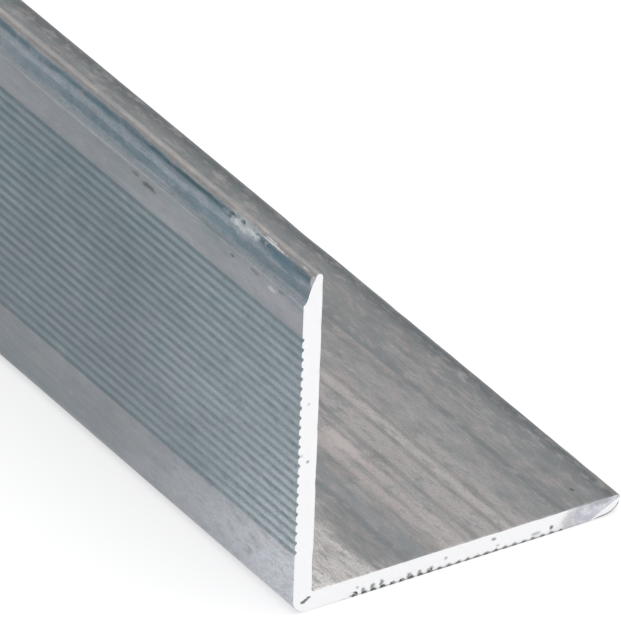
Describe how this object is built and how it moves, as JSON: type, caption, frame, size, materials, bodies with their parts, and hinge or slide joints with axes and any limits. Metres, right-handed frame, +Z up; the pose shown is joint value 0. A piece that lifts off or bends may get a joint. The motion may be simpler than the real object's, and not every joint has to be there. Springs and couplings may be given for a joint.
{
  "type": "flight case angle profile",
  "caption": "Extruded aluminium edge angle with equal legs, ribbed outer faces and bevelled tips, as one straight length for the edges of flight cases.",
  "frame": {"origin": "middle of the length and of the floor leg's width, on the floor that the floor leg lies on", "axes": "+Y along the length, +X from the heel to the tip of the floor leg, +Z up the upright leg"},
  "size_m": [0.035, 1, 0.035],
  "materials": {
    "mill_aluminium": "mill finish, as extruded, with saw-cut ends"
  },
  "bodies": {
    "root": {"angle_profile": "mill_aluminium"}
  },
  "joints": []
}
